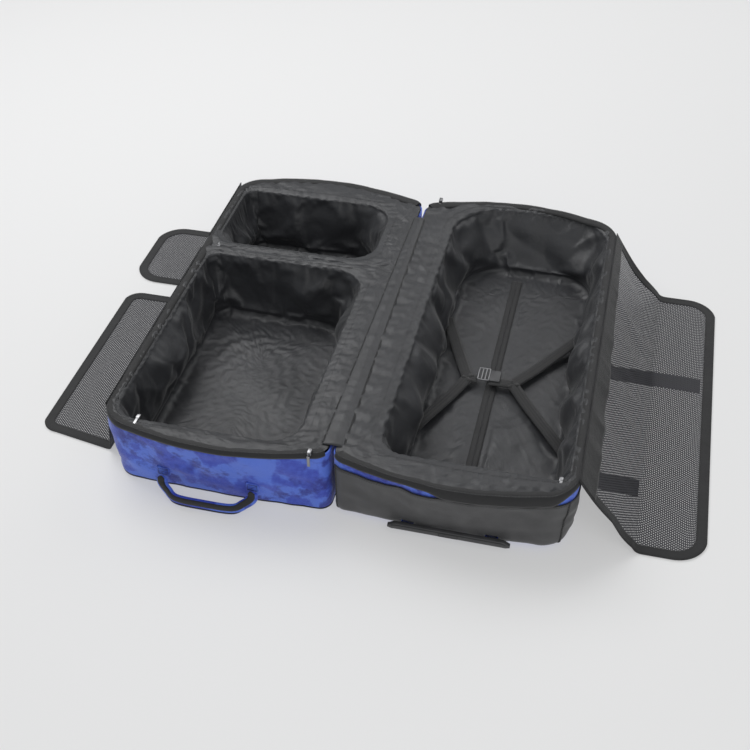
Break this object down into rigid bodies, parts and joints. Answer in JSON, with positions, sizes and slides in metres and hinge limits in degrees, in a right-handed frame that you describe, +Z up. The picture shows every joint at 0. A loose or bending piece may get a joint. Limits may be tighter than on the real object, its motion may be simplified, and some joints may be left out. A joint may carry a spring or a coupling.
{
  "type": "wheeled split-level travel bag",
  "caption": "Large soft wheeled travel bag, lying open like a book: a deep half with cross straps over a telescopic trolley, a lid with two rooms, and mesh flaps thrown outwards.",
  "frame": {"origin": "on the floor under the centre of the open bag's footprint, flaps and handle included", "axes": "+Z up; +Y along the hinge seam, from the trolley grip towards the wheels; +X from the lid towards the base"},
  "size_m": [1.21, 0.8501, 0.1478],
  "materials": {
    "shell_cloth": "mottled woven polyester",
    "coated_panel": "smooth coated cloth",
    "lining_cloth": "satin polyester lining",
    "mesh_cloth": "open knitted mesh",
    "binding_tape": "grosgrain and zip tape",
    "webbing": "woven webbing",
    "black_plastic": "satin moulded plastic",
    "board": "stiffening board",
    "tyre": "solid rubber tyre",
    "aluminium": "drawn tube",
    "steel": "plated zip slider"
  },
  "bodies": {
    "base": {"base_shell": "shell_cloth", "kick_panel": "coated_panel", "base_lining": "lining_cloth", "base_rim_flange": "lining_cloth", "hinge_gusset": "lining_cloth", "base_zipper_tape": "binding_tape", "lining_zipper": "binding_tape", "cross_strap_left": "webbing", "cross_strap_right": "webbing", "side_strap_near": "webbing", "side_strap_far": "webbing", "skid_rail_left": "black_plastic", "skid_rail_right": "black_plastic", "trolley_bezel": "black_plastic", "tube_foot": "black_plastic", "wheel_housing_left": "black_plastic", "wheel_housing_right": "black_plastic", "cross_buckle_socket": "black_plastic", "base_board": "board", "outer_tube_left": "aluminium", "outer_tube_right": "aluminium", "axle_left": "steel", "axle_right": "steel"},
    "lid": {"lid_shell": "shell_cloth", "lid_main_lining": "lining_cloth", "lid_small_lining": "lining_cloth", "lid_rim_flange": "lining_cloth", "lid_zipper_tape": "binding_tape", "lid_divider": "board", "handle_tab_left": "shell_cloth", "handle_tab_right": "shell_cloth"},
    "trolley_mid": {"mid_tube_left": "aluminium", "mid_tube_right": "aluminium"},
    "trolley_inner": {"inner_tube_left": "aluminium", "inner_tube_right": "aluminium", "trolley_grip": "black_plastic"},
    "trolley_button": {"trolley_button": "black_plastic"},
    "wheel_left": {"wheel_left": "tyre"},
    "wheel_right": {"wheel_right": "tyre"},
    "cross_buckle_plug": {"cross_buckle_plug": "black_plastic"},
    "lining_zip_slider": {"lining_zip_slider": "steel"},
    "lining_zip_pull": {"lining_zip_pull": "steel"},
    "lid_handle": {"lid_handle": "shell_cloth"},
    "base_flap_slider": {"base_flap_slider": "steel"},
    "lid_flap_slider": {"lid_flap_slider": "steel"},
    "small_flap_slider": {"small_flap_slider": "steel"},
    "main_slider_near": {"main_slider_near": "steel"},
    "main_slider_far": {"main_slider_far": "steel"},
    "base_flap_inner": {"base_flap_hem": "binding_tape", "base_flap_mesh_inner": "mesh_cloth"},
    "base_flap_outer": {"base_flap_binding": "binding_tape", "base_flap_mesh_outer": "mesh_cloth"},
    "lid_flap_inner": {"lid_flap_hem": "binding_tape", "lid_flap_mesh_inner": "mesh_cloth"},
    "lid_flap_outer": {"lid_flap_binding": "binding_tape", "lid_flap_mesh_outer": "mesh_cloth"},
    "small_flap_inner": {"small_flap_hem": "binding_tape", "small_flap_mesh_inner": "mesh_cloth"},
    "small_flap_outer": {"small_flap_binding": "binding_tape", "small_flap_mesh_outer": "mesh_cloth"}
  },
  "joints": [
    {"name": "lid_fold", "type": "hinge", "parent": "base", "child": "lid", "pos_m": [-0.015, 0.004, 0.146], "axis": [0, 1, 0], "range_deg": [0, 180]},
    {"name": "base_flap_fold", "type": "hinge", "parent": "base", "child": "base_flap_inner", "pos_m": [0.3845, 0.004, 0.1435], "axis": [0, -1, 0], "range_deg": [0, 232.8]},
    {"name": "base_flap_lay", "type": "hinge", "parent": "base_flap_inner", "child": "base_flap_outer", "pos_m": [0.49152, 0.004, 0.0025], "axis": [0, -1, 0], "range_deg": [-52.8, 0]},
    {"name": "lid_flap_fold", "type": "hinge", "parent": "lid", "child": "lid_flap_inner", "pos_m": [-0.4145, -0.111, 0.1435], "axis": [0, 1, 0], "range_deg": [0, 260]},
    {"name": "lid_flap_lay", "type": "hinge", "parent": "lid_flap_inner", "child": "lid_flap_outer", "pos_m": [-0.4397, -0.111, 0.0006], "axis": [0, 1, 0], "range_deg": [-80, 0]},
    {"name": "small_flap_fold", "type": "hinge", "parent": "lid", "child": "small_flap_inner", "pos_m": [-0.4145, 0.269, 0.1435], "axis": [0, 1, 0], "range_deg": [0, 260]},
    {"name": "small_flap_lay", "type": "hinge", "parent": "small_flap_inner", "child": "small_flap_outer", "pos_m": [-0.4397, 0.269, 0.0006], "axis": [0, 1, 0], "range_deg": [-80, 0]},
    {"name": "trolley_lower_stage", "type": "slide", "parent": "base", "child": "trolley_mid", "axis": [0, -1, 0], "range_m": [0, 0.3]},
    {"name": "trolley_upper_stage", "type": "slide", "parent": "trolley_mid", "child": "trolley_inner", "axis": [0, -1, 0], "range_m": [0, 0.3]},
    {"name": "trolley_button_press", "type": "slide", "parent": "trolley_inner", "child": "trolley_button", "axis": [0, 1, 0], "range_m": [0, 0.003], "stiffness_N_per_m": 400, "springref_m": -0.001},
    {"name": "wheel_left_roll", "type": "hinge", "parent": "base", "child": "wheel_left", "pos_m": [0.037, 0.386, 0.035], "axis": [1, 0, 0], "continuous": true},
    {"name": "wheel_right_roll", "type": "hinge", "parent": "base", "child": "wheel_right", "pos_m": [0.333, 0.386, 0.035], "axis": [1, 0, 0], "continuous": true},
    {"name": "lining_zip_run", "type": "slide", "parent": "base", "child": "lining_zip_slider", "axis": [0, 1, 0], "range_m": [0, 0.53]},
    {"name": "lining_zip_pull_flip", "type": "hinge", "parent": "lining_zip_slider", "child": "lining_zip_pull", "pos_m": [0.199, -0.254, 0.037], "axis": [-1, 0, 0], "range_deg": [0, 170]},
    {"name": "cross_buckle_adjust", "type": "slide", "parent": "base", "child": "cross_buckle_plug", "axis": [0.9962, 0, 0.0872], "range_m": [0, 0.02]},
    {"name": "lid_handle_swing", "type": "hinge", "parent": "lid", "child": "lid_handle", "pos_m": [-0.2255, -0.39469, 0.05], "axis": [-1, 0, 0], "range_deg": [0, 100]},
    {"name": "base_flap_zip_run", "type": "slide", "parent": "base", "child": "base_flap_slider", "axis": [-1, 0, 0], "range_m": [0, 0.28]},
    {"name": "lid_flap_zip_run", "type": "slide", "parent": "lid", "child": "lid_flap_slider", "axis": [1, 0, 0], "range_m": [0, 0.2]},
    {"name": "small_flap_zip_run", "type": "slide", "parent": "lid", "child": "small_flap_slider", "axis": [1, 0, 0], "range_m": [0, 0.25]},
    {"name": "main_zip_run_near", "type": "slide", "parent": "lid", "child": "main_slider_near", "axis": [-0.9672, -0.2539, 0], "range_m": [0, 0.025]},
    {"name": "main_zip_run_far", "type": "slide", "parent": "base", "child": "main_slider_far", "axis": [0.9555, 0.2951, 0], "range_m": [0, 0.025]}
  ],
  "couplings": [
    {"joint": "base_flap_lay", "follows": "base_flap_fold", "ratio": -0.2268},
    {"joint": "lid_flap_lay", "follows": "lid_flap_fold", "ratio": -0.30769},
    {"joint": "small_flap_lay", "follows": "small_flap_fold", "ratio": -0.30769}
  ]
}
